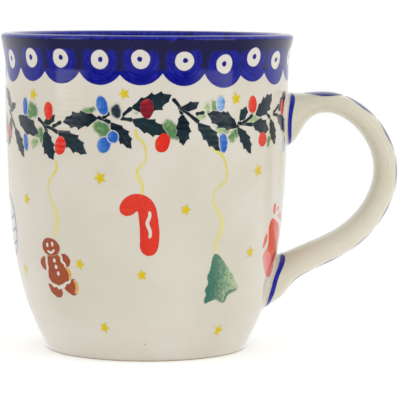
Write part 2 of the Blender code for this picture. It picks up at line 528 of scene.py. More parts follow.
@dataclass
class Dab:
    """One brush mark as a grid on the painter's sheet, in millimetres."""

    place: Array
    edge: Array
    wash: Array
    hue: Array
    brush: Array
    grid: Grid = Grid.STRIP

    def moved(self, degrees: float, up: float = 0.0) -> "Dab":
        """The same mark further round the cup, and higher."""
        shift = np.array([math.radians(degrees) * PAINT_RADIUS, up])
        return Dab(self.place + shift, self.edge, self.wash, self.hue, self.brush, self.grid)

    def film(self, roll: Roll, lift: float, sink: float = 0.12 * MM) -> Shell:
        """The mark as a closed film: its face lifted off a surface, and its back sunk in it.

        Args:
            roll: Turns the sheet and a lift into points.
            lift: Metres that the face stands off.
            sink: Metres from the face to the back.

        Returns:
            The film.
        """
        rows, columns = self.edge.shape
        size = rows * columns
        closed = self.grid is not Grid.STRIP
        front = quads(rows, columns, round_columns=closed)
        faces = [front, front[:, ::-1] + size]
        index = np.arange(size).reshape(rows, columns)
        if closed:
            index = np.hstack([index, index[:, :1]])
        loops = [index[-1, ::-1]]
        if self.grid is not Grid.DISC:
            loops.append(index[0])
        if not closed:
            loops += [index[:, -1], index[::-1, 0]]
        for loop in loops:
            faces.append(np.stack([loop[1:], loop[:-1], loop[:-1] + size, loop[1:] + size], axis=1))
        points = np.vstack([roll(self.place, level).reshape(-1, 3) for level in (lift, lift - sink)])
        marks = {
            "edge": np.tile(self.edge.ravel(), 2),
            "wash": np.tile(self.wash.ravel(), 2),
            "hue": np.tile(self.hue.ravel(), 2),
            "brush": np.tile(self.brush.reshape(-1, 3), (2, 1)),
        }
        return Shell(points, np.vstack(faces), marks).outward()


def on_sheet(spots: Sequence[Spot]) -> Array:
    """Spots as millimetres on the sheet."""
    spread = np.array(spots, float)
    spread[:, 0] = np.radians(spread[:, 0]) * PAINT_RADIUS
    return spread


def stroke(
    spots: Sequence[Spot],
    widths: Sequence[float],
    wash: tuple[float, float] = (1.0, 1.0),
    hue: tuple[float, float] = (0.0, 0.0),
    rim: float = 0.0,
    step: float = 0.45,
) -> Dab:
    """A brush stroke: a smooth line with a width that changes along it.

    The half width is interpolated between the given ones. It falls to each end as a circle: the
    square root of 1 - (1 - distance / half width) squared.

    Args:
        spots: What the middle of the stroke passes through.
        widths: Its width in millimetres, at places evenly spread along it.
        wash: How full its colour is at its two ends.
        hue: The share of its second colour on its left side and on its right.
        rim: What is added to the wash at the edges, where paint gathers.
        step: Millimetres between rows.

    Returns:
        The stroke.
    """
    known = on_sheet(spots)
    length = float(np.linalg.norm(np.diff(known, axis=0), axis=1).sum())
    rows = max(14, int(length / step))
    if len(known) > 2:
        line = spline(known, rows)
    else:
        line = known[0] + np.linspace(0, 1, rows)[:, None] * (known[1] - known[0])
    run = np.append(0, np.cumsum(np.linalg.norm(np.diff(line, axis=0), axis=1)))
    share = run / run[-1]
    half = np.interp(share, np.linspace(0, 1, len(widths)), widths) / 2
    to_end = np.minimum(run, run[-1] - run)
    near = np.clip(1 - to_end / half, 0, 1)
    width = np.maximum(half * np.sqrt(1 - near**2), TIP)
    along = np.gradient(line, axis=0)
    along /= np.linalg.norm(along, axis=1)[:, None]
    left = np.stack([-along[:, 1], along[:, 0]], axis=1)
    across = np.sin(np.linspace(-1, 1, 9) * math.pi / 2)
    place = line[:, None] + left[:, None] * (width[:, None] * across)[..., None]
    edge = np.minimum((1 - np.abs(across)) * width[:, None], to_end[:, None] + TIP_EDGE)
    fill = wash[0] + (wash[1] - wash[0]) * share[:, None] + rim * np.abs(across) ** 2
    tint = hue[0] + (hue[1] - hue[0]) * (0.5 - 0.5 * across) + 0 * share[:, None]
    brush = np.stack(
        np.broadcast_arrays(run[:, None], across * width[:, None], known[0, 0] + known[0, 1]), axis=-1
    )
    return Dab(place, edge, fill, tint, brush)


def blob(
    spot: Spot,
    size: tuple[float, float],
    turn: float = 0.0,
    wobble: float = 0.03,
    wash: tuple[float, float] = (1.0, 1.0),
    hue: tuple[float, float] = (0.0, 0.0),
    outline: Callable[[Array], Array] | None = None,
    columns: int = 40,
    rows: int = 7,
) -> Dab:
    """A dab of the brush: rings about a middle, out to an oval or to any outline.

    The outline's radius, for an angle, is an ellipse's, 1 / root of (cos / a) squared + (sin / b)
    squared, times 1 plus a few slow waves whose size is wobble.

    Args:
        spot: Its middle.
        size: Its width and height in millimetres.
        turn: Degrees that it leans anticlockwise.
        wobble: How uneven its outline is, as a share of its radius.
        wash: How full its colour is at its left and at its right.
        hue: The share of the second colour at its bottom and at its top.
        outline: Radius in millimetres for an angle, instead of the ellipse.
        columns, rows: The grid's size.

    Returns:
        The dab.
    """
    centre = on_sheet([spot])[0]
    angle = np.linspace(0, 2 * math.pi, columns, endpoint=False)
    seed = centre[0] * 1.7 + centre[1] * 0.9
    if outline:
        radius = outline(angle)
    else:
        radius = 1 / np.hypot(np.cos(angle) / (size[0] / 2), np.sin(angle) / (size[1] / 2))
    uneven = np.sin(2 * angle + seed) + np.sin(3 * angle + 2.1 * seed) + 0.7 * np.sin(5 * angle + 3.7 * seed)
    radius = radius * (1 + wobble * uneven)
    out = np.sin(np.linspace(0, 1, rows) * math.pi / 2)[:, None]
    reach = out * radius
    lean = angle + math.radians(turn)
    place = centre + np.stack([reach * np.cos(lean), reach * np.sin(lean)], axis=-1)
    side = (0.5 + 0.5 * out * np.cos(lean)) + 0 * radius
    height = (0.5 + 0.5 * out * np.sin(lean)) + 0 * radius
    edge = (1 - out) * radius
    brush = np.concatenate([place, np.full((*edge.shape, 1), seed)], axis=-1)
    fill = wash[0] + (wash[1] - wash[0]) * side
    tint = hue[0] + (hue[1] - hue[0]) * height
    return Dab(place, edge, fill, tint, brush, Grid.DISC)


def star(spot: Spot, size: float = 3.5, turn: float = 0.0) -> Dab:
    """A five-pointed star.

    Between a point and a notch its outline is a straight line, whose radius at an angle a past the
    point is R r sin 36 / (R sin a + r sin (36 - a)).

    Args:
        spot: Its middle.
        size: Millimetres across its points.
        turn: Degrees that it leans.

    Returns:
        The star.
    """
    outer = size / 2
    notch = outer * 0.55
    wedge = math.pi / 5

    def outline(angle: Array) -> Array:
        """The straight-sided star's radius at each angle, with a point at the top."""
        past = np.abs((angle - math.pi / 2 + wedge) % (2 * wedge) - wedge)
        return outer * notch * math.sin(wedge) / (outer * np.sin(past) + notch * np.sin(wedge - past))

    return blob(spot, (size, size), turn, 0.02, (0.7, 1.0), outline=outline, rows=5)


def leaf(
    base: Spot,
    tip: Spot,
    width: float,
    spikes: int = 3,
    bend: float = 0.0,
    wash: tuple[float, float] = (0.95, 0.8),
    hue: float = 0.0,
) -> Dab:
    """A holly leaf: hollow bays between spikes, along a gently bent rib.

    At a share t along the rib, the half width is width / 2 times a power of sin (pi t), rounder
    towards the base and sharper towards the tip, less a quarter in the middle of each bay, as
    4 f (1 - f) for the share f across the bay. The spikes lean towards the tip, and the two sides'
    spikes alternate.

    Args:
        base, tip: The rib's two ends.
        width: Millimetres across its widest spikes.
        spikes: How many spikes each side has.
        bend: Millimetres that the rib's middle bows to the left.
        wash: How full its colour is at its base and its tip.
        hue: The share of the second colour.

    Returns:
        The leaf.
    """
    start, end = on_sheet([base, tip])
    bays = spikes + 1
    share = np.linspace(0, 1, bays * 8 + 1)
    line = start + share[:, None] * (end - start)
    span = float(np.linalg.norm(end - start))
    forward = (end - start) / span
    left = np.array([-forward[1], forward[0]])
    line += left * (bend * np.sin(math.pi * share))[:, None]
    across = np.sin(np.linspace(-1, 1, 9) * math.pi / 2)
    phase = np.where(across < 0, 0.5, 0.0)
    bay = (share[:, None] * bays + phase) % 1
    hollow = 4 * bay * (1 - bay)
    swell = 0.54 * width * np.sin(math.pi * np.clip(share, 0.01, 0.99)) ** np.where(share < 0.5, 0.6, 0.8)
    half = np.maximum(swell[:, None] * (1 - 0.27 * hollow), 0.05)
    lean = (swell[:, None] * 0.3 * (1 - hollow)) * np.abs(across) ** 1.5 * np.sin(math.pi * share)[:, None]
    place = line[:, None] + left * (half * across)[..., None] + forward * lean[..., None]
    edge = (1 - np.abs(across)) * half
    edge = np.minimum(edge, (np.minimum(share, 1 - share) * span + 0.1)[:, None])
    fill = wash[0] + (wash[1] - wash[0]) * share[:, None] + 0 * across
    seed = start[0] + 2 * start[1]
    brush = np.stack(np.broadcast_arrays(share[:, None] * span, across * half, seed), axis=-1)
    return Dab(place, edge, fill, np.full_like(edge, hue), brush)


# ------------------------------------------------------------------------------------- the cup


@dataclass
class Cup:
    """The thrown cup: its wall, lip, bowl and foot ring, and the surface that its painting lies on."""

    wall_radius: float = 0.04265
    foot_radius: float = 0.0301
    belly_height: float = 0.0203
    belly_power: float = 1.1
    rim_flare: float = 0.00165
    flare_height: float = 0.0095
    flare_power: float = 1.4
    lip_height: float = 0.0013
    wall: float = 0.0042
    floor: float = 0.0055
    bowl_height: float = 0.016
    bowl_power: float = 3.0
    foot_ring: float = 0.0036
    foot_recess: float = 0.0014
    foot_edge: float = 0.0007
    throwing_line: float = 0.000012  # how far the fine lines outside stand out
    throwing_pitch: float = 0.0017
    finger_ring: float = 0.00004  # how deep the potter's finger rings inside are
    finger_pitch: float = 0.0062
    columns: int = 288
    lip_steps: int = 20

    def __post_init__(self) -> None:
        """Takes the axis, the foot's level and the height from the solid."""
        low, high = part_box("cup")
        self.axis = ((low.x + high.x) / 2, (low.y + high.y) / 2)
        self.level = low.z
        self.height = high.z - low.z
        self.lip_base = self.height - self.lip_height

    def outside(self, height: Array) -> Array:
        """Outside radius at a height: the wall's radius, less a stretched exponential that dies away
        upwards and makes the belly, plus a power of the way up the flare."""
        short = np.exp(-((np.maximum(height, 0) / self.belly_height) ** self.belly_power))
        belly = self.wall_radius - (self.wall_radius - self.foot_radius) * short
        rise = np.maximum(0.0, 1 - (self.height - height) / self.flare_height)
        return belly + self.rim_flare * rise**self.flare_power

    def thrown(self, angle: Array, height: Array) -> Array:
        """Outside radius with its fine spiral throwing lines, which fade out at the foot and the rim."""
        lines = np.sin(2 * math.pi * height / self.throwing_pitch + angle)
        fade = smooth(height, 0.003, 0.012) * (1 - smooth(height, self.height - 0.012, self.height - 0.006))
        return self.outside(height) + self.throwing_line * lines * fade

    def lip(self, turn: Array) -> tuple[Array, Array]:
        """The lip from the outside, turn 0, over the top to the inside, turn pi.

        It is half an ellipse over the wall, sheared outwards by the flare's slope.

        Args:
            turn: Radians round the half ellipse.

        Returns:
            Radius and height.
        """
        step = 0.1 * self.lip_height
        lean = (self.outside(self.lip_base) - self.outside(self.lip_base - step)) / step
        rise = self.lip_height * np.sin(turn)
        middle = self.outside(self.lip_base) - self.wall / 2
        return middle + self.wall / 2 * np.cos(turn) + lean * rise, self.lip_base + rise

    def put(self, angle: Array, radius: Array, height: Array) -> Array:
        """Points at angles round the axis from the front, in radians, at a radius and a height."""
        x = self.axis[0] + radius * np.sin(angle)
        y = self.axis[1] - radius * np.cos(angle)
        return np.stack(np.broadcast_arrays(x, y, self.level + height), axis=-1)

    def roll(self, sheet: Array, lift: float) -> Array:
        """Rolls the painter's sheet onto the outside wall, lifted along the wall's normal."""
        angle = sheet[..., 0] / PAINT_RADIUS
        height = sheet[..., 1] * MM
        slope = (self.outside(height + 1e-5) - self.outside(height - 1e-5)) / 2e-5
        out = lift / np.sqrt(1 + slope**2)
        return self.put(angle, self.thrown(angle, height) + out, height - slope * out)

    def roll_over_rim(self, sheet: Array, lift: float) -> Array:
        """Rolls a sheet up the outside, over the lip and down the inside.

        Above the lip's base each millimetre of the sheet is a radian of the lip's turn, and past a
        half turn it is a millimetre down the inside.
        """
        angle = sheet[..., 0] / PAINT_RADIUS
        past = sheet[..., 1] - self.lip_base / MM
        radius, height = self.lip(np.clip(past, 0, math.pi))
        below = np.minimum(past, 0) * MM
        inner = np.maximum(past - math.pi, 0) * MM
        radius = np.where(past < 0, self.thrown(angle, self.lip_base + below), radius)
        radius = np.where(inner > 0, self.outside(self.lip_base - inner) - self.wall, radius)
        height = np.where(past < 0, self.lip_base + below, np.where(inner > 0, self.lip_base - inner, height))
        along = np.stack([np.gradient(radius, axis=0), np.gradient(height, axis=0)])
        along /= np.linalg.norm(along, axis=0)
        return self.put(angle, radius + lift * along[1], height - lift * along[0])

    def _rounded(self, before: Spot, corner: Spot, after: Spot, radius: float, steps: int = 5) -> Array:
        """The points of an arc tangent to both lines at a corner of a profile."""
        middle = np.array(corner)
        back, on = ((np.array(p) - middle) / np.linalg.norm(np.array(p) - middle) for p in (before, after))
        half = math.acos(float(back @ on)) / 2
        centre = middle + (back + on) / np.linalg.norm(back + on) * radius / math.sin(half)
        start = middle + back * radius / math.tan(half) - centre
        end = middle + on * radius / math.tan(half) - centre
        turn = math.pi - 2 * half
        share = np.linspace(0, 1, steps + 1)[:, None]
        return centre + (np.sin((1 - share) * turn) * start + np.sin(share * turn) * end) / math.sin(turn)

    def _bowl(self) -> Array:
        """The inside, from its middle to the lip's inner base: a superellipse, then the wall's offset."""
        floor = self.foot_recess + self.floor
        angle = np.linspace(math.pi / 2, 0, 30)
        height = floor + self.bowl_height * (1 - np.sin(angle) ** (2 / self.bowl_power))
        radius = (self.outside(height) - self.wall) * np.cos(angle) ** (2 / self.bowl_power)
        radius[0] = 0
        rise = np.linspace(height[-1], self.lip_base, 90)[1:]
        rings = self.finger_ring * np.sin(2 * math.pi * rise / self.finger_pitch)
        rings *= smooth(rise, height[-1], height[-1] + 0.006) * (1 - smooth(rise, 0.075, 0.087))
        inside = np.stack([self.outside(rise) - self.wall + rings, rise], axis=1)
        return np.vstack([np.stack([radius, height], axis=1), inside])

    def _foot(self) -> Array:
        """The foot ring's rounded edges, and the recess inside it in to the axis."""
        side = (float(self.outside(2 * self.foot_edge)), 2 * self.foot_edge)
        outer = (self.foot_radius, 0.0)
        inner = (self.foot_radius - self.foot_ring, 0.0)
        top = (inner[0] - self.foot_recess / 2, self.foot_recess)
        edges = (
            self._rounded(side, outer, inner, self.foot_edge),
            self._rounded(outer, inner, top, self.foot_edge / 2),
            self._rounded(inner, top, (0.0, self.foot_recess), self.foot_edge / 2),
        )
        recess = np.stack([np.linspace(edges[2][-1, 0], 0, 8)[1:], np.full(7, self.foot_recess)], axis=1)
        return np.vstack([*edges, recess])

    def build(self, glaze: Glaze) -> None:
        """Turns the profile, from the middle of the inside over the lip to the middle of the base."""
        turn = np.linspace(math.pi, 0, self.lip_steps + 1)[1:]
        lip = np.stack(self.lip(turn), axis=1)
        share = np.linspace(0, 1, 150)[1:]
        side = 2 * self.foot_edge + (self.lip_base - 2 * self.foot_edge) * (1 - share)
        inner, foot = self._bowl(), self._foot()
        angle = np.linspace(0, 2 * math.pi, self.columns, endpoint=False)
        wall = self.put(angle, self.thrown(angle, side[:, None]), side[:, None])
        parts = [self.put(angle, p[:, :1], p[:, 1:]) for p in (np.vstack([inner, lip]), foot[1:])]
        grid = np.vstack([parts[0], wall, parts[1]])
        faces = quads(len(grid), self.columns, round_columns=True)
        shell = Shell(grid.reshape(-1, 3), faces).outward()
        dress = glaze.material("cream_glaze", self.level + WIPED)
        piece("cup_body", [shell], dress, ["cup"], 70)


# ---------------------------------------------------------------------------------- the handle


class Root(Enum):
    """The two ends of the handle."""

    UPPER = "upper"
    LOWER = "lower"


@dataclass
class Strap:
    """The pulled handle: a flattened oval carried along a bow, with flared roots pressed to the wall."""

    cup: Cup
    upper_root_below_rim: float = 0.0258
    lower_root_height: float = 0.0204
    reach: float = 0.0302
    thickness_above: float = 0.0057
    thickness_below: float = 0.0085
    width: float = 0.0146
    upper_flare: float = 0.0114
    upper_flare_run: float = 0.0076
    lower_flare: float = 0.0049
    lower_flare_run: float = 0.0056
    root_spread: float = 0.005
    root_run: float = 0.008
    section_power: float = 2.3
    root_depth: float = 0.0022  # how deep the fine strap runs into the wall
    slip_reach: float = 0.0008  # how far the slip is smeared out from the joint
    slip_sink: float = 0.0004
    line: tuple[Spot, ...] = (
        (-0.112, 1.0),
        (0.421, 1.107),
        (0.788, 0.984),
        (1.0, 0.676),
        (0.703, 0.287),
        (0.198, 0.107),
        (-0.048, 0.0),
    )
    rows: int = 168
    columns: int = 72

    def __post_init__(self) -> None:
        """Works out the strap's middle line, outward direction and half sizes along its run."""
        upper = self.cup.height - self.upper_root_below_rim
        share, rise = np.array(self.line).T
        height = self.lower_root_height + rise * (upper - self.lower_root_height)
        bow = np.stack([self.cup.outside(height) + share * self.reach, height], axis=1)
        centre = spline(bow, 600)
        along = np.gradient(centre, axis=0)
        along /= np.linalg.norm(along, axis=1)[:, None]
        first, last = centre[0] - along[0] * self.root_run, centre[-1] + along[-1] * self.root_run
        self.centre = np.vstack([first, centre, last])
        along = np.vstack([along[0], along, along[-1]])
        self.outward = np.stack([-along[:, 1], along[:, 0]], axis=1)
        self.run = np.append(0, np.cumsum(np.linalg.norm(np.diff(self.centre, axis=0), axis=1)))
        from_upper = np.maximum(self.run - self.root_run, 0)
        from_lower = np.maximum(self.run[-1] - self.root_run - self.run, 0)
        share = from_upper / (from_upper + from_lower)
        upper_swell = np.exp(-((from_upper / self.upper_flare_run) ** 2))
        lower_swell = np.exp(-((from_lower / self.lower_flare_run) ** 2))
        thickness = self.thickness_above + (self.thickness_below - self.thickness_above) * share
        thickness += self.upper_flare * upper_swell + self.lower_flare * lower_swell
        self.half_thickness = thickness / 2
        self.half_width = (self.width + self.root_spread * (upper_swell + lower_swell)) / 2

    def at(self, run: Array, angle: Array, lift: Array | float = 0.0) -> Array:
        """Points on the strap.

        At an angle round the section the point is the sine's 2/p power of the half thickness out
        and the cosine's 2/p power of the half width across, lifted along the section's normal.

        Args:
            run: Metres along the strap from its upper end.
            angle: Radians round the section: 0 on the far side, pi/2 outside, pi on the near side.
            lift: Metres off the surface.

        Returns:
            The points.
        """
        run, angle = np.broadcast_arrays(run, angle)
        tables = (*self.centre.T, *self.outward.T, self.half_thickness, self.half_width)
        x, z, out_x, out_z, half_thickness, half_width = (np.interp(run, self.run, t) for t in tables)
        power = 2 / self.section_power
        over, across = signed_power(np.sin(angle), power), signed_power(np.cos(angle), power)
        back = self.section_power - 1
        normal = np.stack(
            [signed_power(over, back) / half_thickness, signed_power(across, back) / half_width]
        )
        normal /= np.linalg.norm(normal, axis=0)
        rise = over * half_thickness + normal[0] * lift
        y = across * half_width + normal[1] * lift
        level = self.cup.level
        return np.stack(
            [self.cup.axis[0] + x + out_x * rise, self.cup.axis[1] + y, level + z + out_z * rise], -1
        )

    def leaves_wall(self, root: Root, angle: Array, depth: float = 0.0, lift: float = 0.0) -> Array:
        """Where each line along the strap comes out of the wall.

        Args:
            root: Which end.
            angle: Radians round the section.
            depth: Metres under the wall's face to look for instead.
            lift: Metres that the strap is fattened by.

        Returns:
            Run along the strap, one for each angle.
        """
        ends = (0.0, self.run[-1] / 2) if root is Root.UPPER else (self.run[-1], self.run[-1] / 2)
        run = np.linspace(*ends, 500)
        points = self.at(run[:, None], angle, lift)
        from_axis = np.hypot(points[..., 0] - self.cup.axis[0], points[..., 1] - self.cup.axis[1])
        clear = from_axis - self.cup.outside(points[..., 2] - self.cup.level) + depth
        i = np.maximum(np.argmax(clear > 0, axis=0), 1)
        column = np.arange(len(angle))
        before, after = clear[i - 1, column], clear[i, column]
        return run[i - 1] - before / (after - before) * (run[i] - run[i - 1])

    def roll(self, sheet: Array, lift: float) -> Array:
        """Lays a sheet on the strap's outer face: across the strap, and along its run."""
        run = sheet[..., 1] * MM
        half_width = np.interp(run, self.run, self.half_width)
        share = np.clip(sheet[..., 0] * MM / half_width, -1, 1)
        cosine = signed_power(share, self.section_power / 2)
        return self.at(run, np.arccos(cosine), lift)

    def roll_round(self, root: Root) -> Roll:
        """A way to lay a sheet round a root.

        Args:
            root: Which end.

        Returns:
            Turns radians round the section, and millimetres out from the wall, into points.
        """
        sign = 1 if root is Root.UPPER else -1

        def roll(sheet: Array, lift: float) -> Array:
            """The points of one sheet round the root."""
            start = self.leaves_wall(root, sheet[:, 0, 0])
            return self.at(start[:, None] + sign * sheet[..., 1] * MM, sheet[..., 0], lift)

        return roll

    def build(self, glaze: Glaze) -> None:
        """Makes the strap from root to root, closed by a cap deep in the wall at each end."""
        angle = np.linspace(0, 2 * math.pi, self.columns, endpoint=False)
        first = self.leaves_wall(Root.UPPER, angle, self.root_depth)
        last = self.leaves_wall(Root.LOWER, angle, self.root_depth)
        share = np.linspace(0, 1, self.rows)[:, None]
        grid = self.at(first + share * (last - first), angle)
        caps = [np.broadcast_to(grid[i].mean(axis=0), (1, self.columns, 3)) for i in (0, -1)]
        grid = np.vstack([caps[0], grid, caps[1]])
        faces = quads(len(grid), self.columns, round_columns=True)
        shell = Shell(grid.reshape(-1, 3), faces).outward()
        material = glaze.material("handle_cream_painted_shade", self.cup.level - 1.0)
        piece("handle_strap", [shell], material, ["handle"], 70)

    def build_slip(self, root: Root, material: bpy.types.Material) -> None:
        """Smears slip into the corner between a root and the wall.

        Its face is a curve with three controls: a point on the strap, the corner, and a point on the
        wall where a fattened strap would meet it. Its back runs through the clay.

        Args:
            root: Which end.
            material: What it is dressed in.
        """
        sign = 1 if root is Root.UPPER else -1
        angle = np.linspace(0, 2 * math.pi, 2 * self.columns, endpoint=False)
        corner_run = self.leaves_wall(root, angle)
        on_strap = self.at(corner_run + sign * self.slip_reach, angle, -0.00002)
        corner = self.at(corner_run, angle)
        on_wall = self.at(self.leaves_wall(root, angle, 0.00002, self.slip_reach), angle, self.slip_reach)
        t = np.linspace(0, 1, 9)[:, None, None]
        face = (1 - t) ** 2 * on_strap + 2 * t * (1 - t) * corner + t**2 * on_wall
        sunk_run = self.leaves_wall(root, angle, self.slip_sink, self.slip_reach)
        sunk_wall = self.at(sunk_run, angle, self.slip_reach)
        behind = self.at(self.leaves_wall(root, angle, self.slip_sink), angle, -self.slip_sink)
        sunk_strap = self.at(corner_run + sign * self.slip_reach, angle, -self.slip_sink)
        grid = np.vstack([face, sunk_wall[None], behind[None], sunk_strap[None]])
        faces = quads(*grid.shape[:2], round_rows=True, round_columns=True)
        shell = Shell(grid.reshape(-1, 3), faces).outward()
        piece(f"{root.value}_slip", [shell], material, [f"{root.value}_slip_seam"], 60)


# -------------------------------------------------------------------------------- the painting


def layer(dabs: Sequence[Dab], roll: Roll, lift: float) -> list[Shell]:
    """Films of many marks, each a hair above the one before it, so that crossing marks don't meet."""
    return [dab.film(roll, lift + (i % 9) * 0.002 * MM) for i, dab in enumerate(dabs)]


@dataclass
class RimBand:
    """The cobalt rim with its scallops, and the reserved eyes with their centre dots."""

    cup: Cup
    eyes: int = 22
    eye_height: float = 88.1
    eye_size: float = 5.75
    dot_size: float = 1.75
    scallop_radius: float = 7.2
    down_inside: float = 2.6
    first_eye: float = -1.1
    # Degrees round and millimetres up by which the eyes nearest the front are off their even places,
    # and millimetres by which their scallops are larger.
    nudges: tuple[tuple[float, float, float], ...] = (
        (-0.6, -0.6, -0.4), (0.2, 0.1, -0.3), (-0.1, 0.3, 0.2), (0.5, 0.1, 0.15), (0.0, 0.3, 0.3),
        (0.4, -0.2, 0.0), (0.8, -1.1, -0.25), (-0.9, 0.7, 0.0), (-1.5, -0.4, 0.1),
    )

    def spots(self) -> Array:
        """The eyes' middles and their scallops' radii, evenly spaced but for the painter's hand."""
        hand = np.random.default_rng(4)
        off = hand.uniform((-0.7, -0.6, -0.1), (0.7, 0.5, 0.3), (self.eyes, 3))
        off[np.arange(-4, 5)] = self.nudges
        degrees = self.first_eye + 360 / self.eyes * np.arange(self.eyes) + off[:, 0]
        return np.stack([degrees, self.eye_height + off[:, 1], self.scallop_radius + off[:, 2]], axis=1)

    def band(self) -> Dab:
        """The blue: a belt from the scallops' edge over the lip and a little way down the inside.

        Its lower edge is the lowest of the circles about the eyes, at each place round the rim. The
        distance to the nearest eye sets where royal turns to navy and which way the brush went.
        """
        columns = self.eyes * 32
        around = np.arange(columns) / columns * 2 * math.pi * PAINT_RADIUS
        middles = on_sheet(self.spots())
        whole = 2 * math.pi * PAINT_RADIUS
        aside = (around - middles[:, :1] + whole / 2) % whole - whole / 2
        radius = middles[:, 2:]
        drop = np.sqrt(np.maximum(radius**2 - aside**2, 0))
        low = np.where(np.abs(aside) < radius, middles[:, 1:2] - drop, 99.0).min(axis=0)
        lip_base = self.cup.lip_base / MM
        up = low + (lip_base - low) * np.linspace(0, 1, 15)[:, None] ** 1.3
        turn = lip_base + np.linspace(0, math.pi, self.cup.lip_steps + 1)[1:, None] + 0 * low
        edge_inside = (
            self.down_inside
            + 0.3 * np.sin(7 * around / PAINT_RADIUS)
            + 0.2 * np.sin(19 * around / PAINT_RADIUS)
        )
        down = lip_base + math.pi + np.linspace(0, 1, 6)[1:, None] * edge_inside
        up = np.vstack([up, turn, down])
        place = np.stack(np.broadcast_arrays(around, up), axis=-1)
        rise = np.minimum(up, lip_base) - middles[:, 1, None, None]
        apart = np.hypot(aside[:, None], rise)
        nearest = apart.argmin(axis=0)
        near = np.take_along_axis(apart, nearest[None], axis=0)[0]
        bearing = np.arctan2(
            np.take_along_axis(rise, nearest[None], axis=0)[0],
            np.take_along_axis(np.broadcast_to(aside[:, None], apart.shape), nearest[None], axis=0)[0],
        )
        edge = np.maximum((radius[..., None] - apart).max(axis=0), up - 84.9)
        edge = np.where(up > lip_base + math.pi, lip_base + math.pi + edge_inside - up, edge)
        outer = np.maximum(smooth(up, 89.8, 91.6), smooth(near, 4.4, 6.0) * smooth(up, 83.5, 87.0))
        # Over the lip and a little way down the inside, the blue is painted lighter and less navy: painted
        # light where the top of the rim catches the light.
        lip = smooth(up, lip_base - 0.1, lip_base + 0.4)
        hue = outer * (1 - 0.8 * lip)
        brush = np.stack([bearing * 6, near * 1.1, nearest * 1.0], axis=-1)
        return Dab(place, edge, 0.8 - 0.12 * lip, 0.12 + 0.75 * hue, brush, Grid.BELT)

    def build(self, glaze: Glaze) -> None:
        """Makes the band, the eyes and their dots."""
        hand = np.random.default_rng(11)
        rings, dots = [], []
        for degrees, up, _ in self.spots():
            wide, high, lean = hand.uniform(-0.25, 0.2), hand.uniform(-0.15, 0.25), hand.uniform(-20, 20)
            off = hand.uniform(-0.35, 0.35, 2)
            size = (self.eye_size + wide, self.eye_size + high)
            rings.append(blob((degrees, up), size, lean, 0.012))
            dot = (self.dot_size + wide / 2, self.dot_size + high)
            dots.append(blob((degrees + off[0], up + 0.15 + off[1] * 0.4), dot, lean, 0.03, rows=5))
        blue = COBALT.material(glaze)
        piece("rim_band", [self.band().film(self.cup.roll_over_rim, 0.03 * MM)], blue)
        piece("rim_eyes", layer(rings, self.cup.roll, 0.045 * MM), RESERVE.material(glaze))
        piece("rim_eye_dots", layer(dots, self.cup.roll, 0.06 * MM), blue)


def shape(middle: Spot, spots: Sequence[Spot], **look: object) -> Dab:
    """A patch with any outline that can be seen whole from its middle.

    Args:
        middle: Where its rings shrink to.
        spots: The outline's corners in any order, with nearly straight edges between them.
        look: Passed on to the dab.

    Returns:
        The patch.
    """
    off = on_sheet(spots) - on_sheet([middle])
    angle = np.arctan2(off[:, 1], off[:, 0]) % (2 * math.pi)
    order = np.argsort(angle)
    order = np.concatenate([order[-1:], order, order[:1]])
    angle, radius = angle[order], np.hypot(off[:, 0], off[:, 1])[order]
    angle[0] -= 2 * math.pi
    angle[-1] += 2 * math.pi

    def straight(turn: Array) -> Array:
        """How far the edge is at each angle, along the straight line between two corners."""
        turn = turn % (2 * math.pi)
        after = np.clip(np.searchsorted(angle, turn), 1, len(angle) - 1)
        a, b, r, q = angle[after - 1], angle[after], radius[after - 1], radius[after]
        return r * q * np.sin(b - a) / np.maximum(r * np.sin(turn - a) + q * np.sin(b - turn), 1e-6)

    def outline(turn: Array) -> Array:
        """The same with its corners rounded, as a loaded brush leaves them."""
        return sum(straight(turn + aside) for aside in (-0.1, 0.0, 0.1)) / 3

    return blob(middle, (1, 1), wobble=0.012, outline=outline, columns=144, rows=9, **look)


def all_round(dabs: Sequence[Dab]) -> list[Dab]:
    """The front's marks, again on the back, and the middle ones once more on the side."""
    middle = [dab for dab in dabs if -18 < math.degrees(dab.place[..., 0].mean() / PAINT_RADIUS) < 12]
    return [*dabs, *(dab.moved(180) for dab in dabs), *(dab.moved(-90) for dab in middle)]


